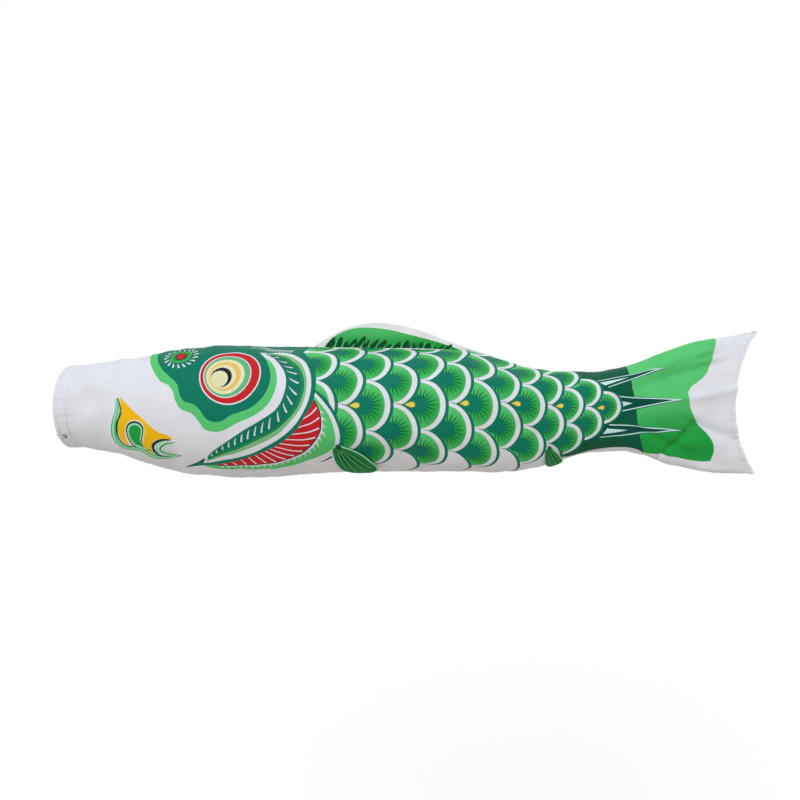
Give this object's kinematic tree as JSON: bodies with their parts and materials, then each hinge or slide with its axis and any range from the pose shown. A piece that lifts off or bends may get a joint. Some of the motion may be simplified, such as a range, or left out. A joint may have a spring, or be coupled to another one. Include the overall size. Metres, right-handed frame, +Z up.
{
  "type": "carp streamer",
  "caption": "Fish-shaped windsock: printed cloth tube held open at the mouth by a hemmed hoop, open at a concave tail, with sewn-on fins; it droops and sways in segments.",
  "frame": {"origin": "centre of the mouth rim, in the plane of its front edge", "axes": "+X from the mouth to the tail, +Z up towards the back fin, -Y the fish's left side"},
  "size_m": [1.0024, 0.1924, 0.2255],
  "materials": {
    "printed_cloth": "printed woven polyester, slight sheen",
    "white_cloth": "plain woven polyester, slight sheen",
    "fin_cloth": "printed woven polyester, two layers",
    "tie_cord": "twisted cord",
    "hoop_wire": "white plastic coat on spring wire",
    "joiner_plastic": "clear grey sleeve"
  },
  "bodies": {
    "mouth": {"mouth_hoop": "hoop_wire", "hoop_joiner": "joiner_plastic", "mouth_hem": "white_cloth", "rim_tie_left": "tie_cord", "rim_tie_right": "tie_cord", "neck_panel_left": "printed_cloth", "neck_panel_right": "printed_cloth"},
    "head": {"head_panel_left": "printed_cloth", "head_panel_right": "printed_cloth", "gill_panel_left": "printed_cloth", "gill_panel_right": "printed_cloth"},
    "trunk": {"trunk_panel_left": "printed_cloth", "trunk_panel_right": "printed_cloth", "loin_panel_left": "printed_cloth", "loin_panel_right": "printed_cloth"},
    "hip": {"hip_panel_left": "printed_cloth", "hip_panel_right": "printed_cloth", "stalk_panel_left": "printed_cloth", "stalk_panel_right": "printed_cloth"},
    "tail_root": {"tail_root_panel_left": "printed_cloth", "tail_root_panel_right": "printed_cloth", "tail_web_panel_left": "printed_cloth", "tail_web_panel_right": "printed_cloth"},
    "tail_end": {"tail_end_panel_left": "printed_cloth", "tail_end_panel_right": "printed_cloth", "tail_hem_left": "white_cloth", "tail_hem_right": "white_cloth"},
    "dorsal_fin": {"dorsal_fin": "fin_cloth"},
    "pectoral_fin_left": {"pectoral_fin_left": "fin_cloth"},
    "pectoral_fin_right": {"pectoral_fin_right": "fin_cloth"},
    "pelvic_fin_left": {"pelvic_fin_left": "fin_cloth"},
    "pelvic_fin_right": {"pelvic_fin_right": "fin_cloth"}
  },
  "joints": [
    {"name": "neck_droop", "type": "hinge", "parent": "mouth", "child": "head", "pos_m": [0.085, 0, 0], "axis": [0, 1, 0], "range_deg": [0, 65], "deforming": ["neck_panel_left", "neck_panel_right"]},
    {"name": "front_sway", "type": "hinge", "parent": "head", "child": "trunk", "pos_m": [0.29, 0, -0.007], "axis": [0, 0, 1], "range_deg": [-25, 25], "deforming": ["gill_panel_left", "gill_panel_right"]},
    {"name": "rear_sway", "type": "hinge", "parent": "trunk", "child": "hip", "pos_m": [0.648, 0, -0.014], "axis": [0, 0, 1], "range_deg": [-20, 20], "deforming": ["loin_panel_left", "loin_panel_right"]},
    {"name": "stalk_sway", "type": "hinge", "parent": "hip", "child": "tail_root", "pos_m": [0.79, 0, -0.007], "axis": [0, 0, 1], "range_deg": [-35, 35], "deforming": ["stalk_panel_left", "stalk_panel_right"]},
    {"name": "tail_sway", "type": "hinge", "parent": "tail_root", "child": "tail_end", "pos_m": [0.9, 0, 0.001], "axis": [0, 0, 1], "range_deg": [-35, 35], "deforming": ["tail_web_panel_left", "tail_web_panel_right"]},
    {"name": "dorsal_flop", "type": "hinge", "parent": "trunk", "child": "dorsal_fin", "pos_m": [0.365, 0, 0.088], "axis": [0.9995, 0, -0.0311], "range_deg": [-50, 50]},
    {"name": "pectoral_flap_left", "type": "hinge", "parent": "trunk", "child": "pectoral_fin_left", "pos_m": [0.394, -0.082, -0.0485], "axis": [-0.7964, 0.3285, -0.5077], "range_deg": [0, 50]},
    {"name": "pectoral_flap_right", "type": "hinge", "parent": "trunk", "child": "pectoral_fin_right", "pos_m": [0.394, 0.082, -0.0485], "axis": [0.7964, 0.3285, 0.5077], "range_deg": [0, 50]},
    {"name": "pelvic_flap_left", "type": "hinge", "parent": "hip", "child": "pelvic_fin_left", "pos_m": [0.685, -0.0585, -0.051], "axis": [-0.8926, 0.2407, -0.3811], "range_deg": [0, 50]},
    {"name": "pelvic_flap_right", "type": "hinge", "parent": "hip", "child": "pelvic_fin_right", "pos_m": [0.685, 0.0585, -0.051], "axis": [0.8926, 0.2407, 0.3811], "range_deg": [0, 50]}
  ]
}
